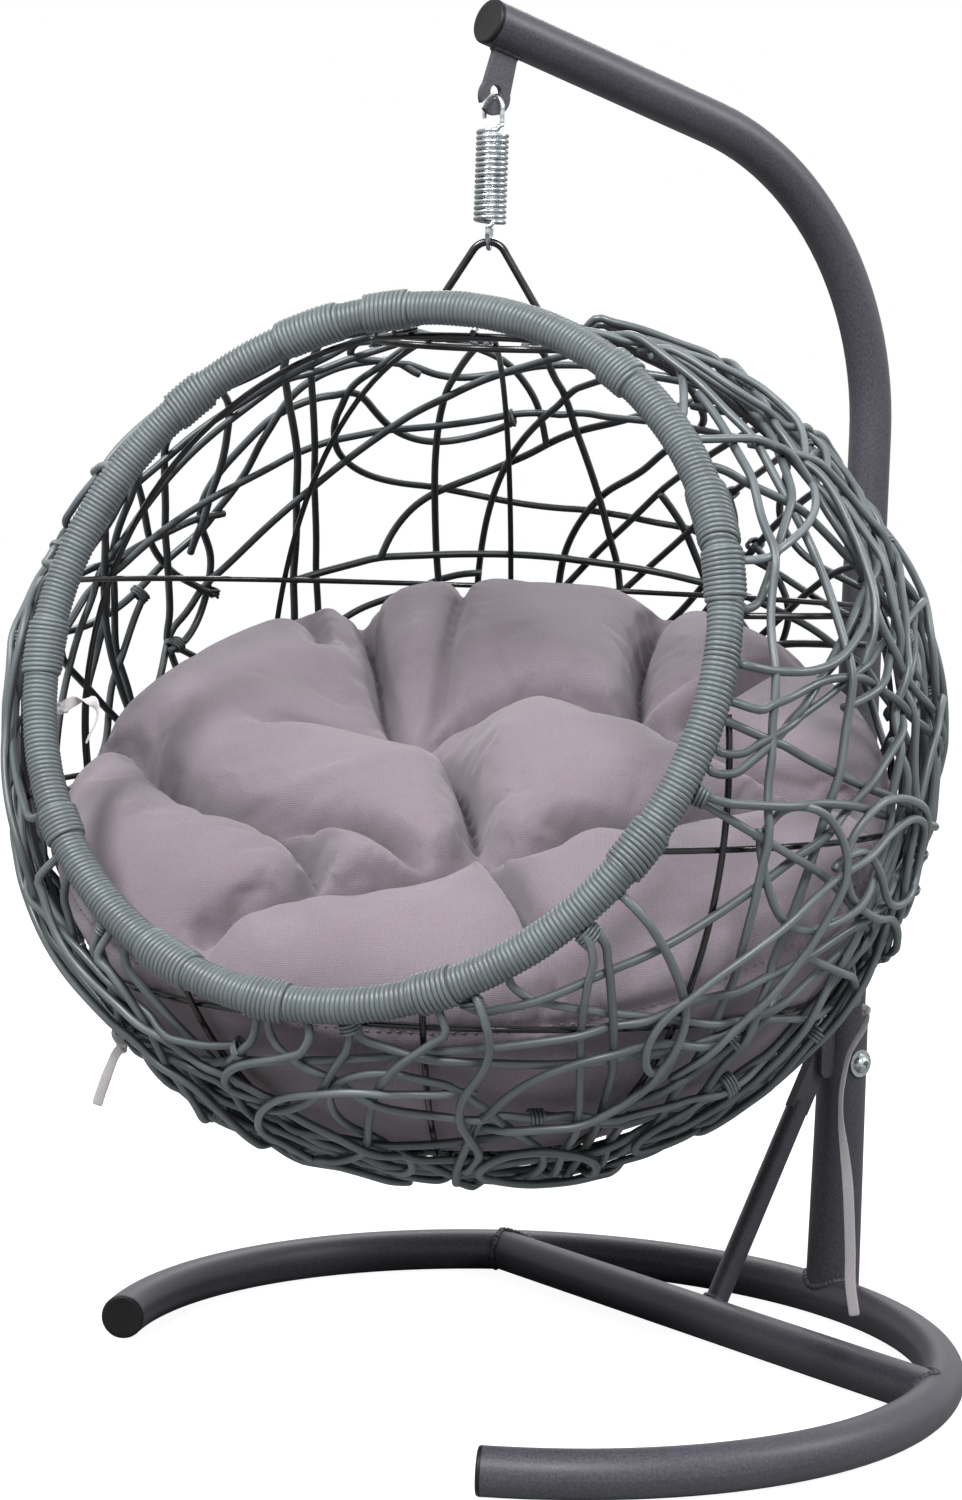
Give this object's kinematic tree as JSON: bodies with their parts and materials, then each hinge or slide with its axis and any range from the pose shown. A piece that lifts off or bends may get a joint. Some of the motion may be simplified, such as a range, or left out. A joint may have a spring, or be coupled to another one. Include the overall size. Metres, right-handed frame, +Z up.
{
  "type": "hanging egg chair",
  "caption": "Small egg-shaped wicker nest with a tufted cushion, hung by a coil spring from a one-armed tubular stand with a C-shaped base.",
  "frame": {"origin": "middle of the ring-shaped base, on the floor", "axes": "+Z up; -Y towards the base's open side and +Y towards the post; +X is on the right when looking along +Y"},
  "size_m": [0.6206, 0.6588, 0.906],
  "materials": {
    "stand_powder_coat": "fine-textured dark grey powder coat, satin",
    "cap_plastic": "black moulded plastic, slightly shiny",
    "zinc_plated_steel": "bright zinc plating",
    "frame_rod_paint": "glossy black paint",
    "wicker_resin": "round grey resin wicker with a soft sheen",
    "cushion_fabric": "woven mauve-grey polyester",
    "tie_ribbon": "light grey woven ribbon"
  },
  "bodies": {
    "stand": {"base_ring": "stand_powder_coat", "cross_brace": "stand_powder_coat", "base_caps": "cap_plastic", "lower_post": "stand_powder_coat", "strut": "stand_powder_coat", "strut_bracket": "stand_powder_coat", "pole_arm": "stand_powder_coat", "arm_cap": "cap_plastic", "hook_plate": "stand_powder_coat", "post_bolt": "zinc_plated_steel", "bolt_washers": "zinc_plated_steel", "bolt_nut": "zinc_plated_steel"},
    "spring": {"upper_hook": "zinc_plated_steel", "spring_coil": "zinc_plated_steel"},
    "spring_end": {"lower_hook": "zinc_plated_steel"},
    "basket": {"bail": "frame_rod_paint", "top_ring": "frame_rod_paint", "frame_ribs": "frame_rod_paint", "frame_hoops": "frame_rod_paint", "bottom_ring": "frame_rod_paint", "rim_tube": "frame_rod_paint", "rim_wrap": "wicker_resin", "wicker_inner": "wicker_resin", "wicker_middle": "wicker_resin", "wicker_outer": "wicker_resin", "cushion": "cushion_fabric", "front_button": "cushion_fabric", "back_button": "cushion_fabric", "tie_rim": "tie_ribbon", "tie_left": "tie_ribbon", "tie_right": "tie_ribbon"}
  },
  "joints": [
    {"name": "swing_fore_aft", "type": "hinge", "parent": "stand", "child": "spring", "pos_m": [0, -0.0635, 0.8448], "axis": [1, 0, 0], "range_deg": [-12, 2.5]},
    {"name": "spring_stretch", "type": "slide", "parent": "spring", "child": "spring_end", "axis": [0, 0, -1], "range_m": [0, 0.025], "stiffness_N_per_m": 7000, "springref_m": -0.01},
    {"name": "basket_swivel", "type": "hinge", "parent": "spring_end", "child": "basket", "pos_m": [0, -0.0635, 0.748], "axis": [0, 0, 1], "range_deg": [-30, 30]}
  ]
}
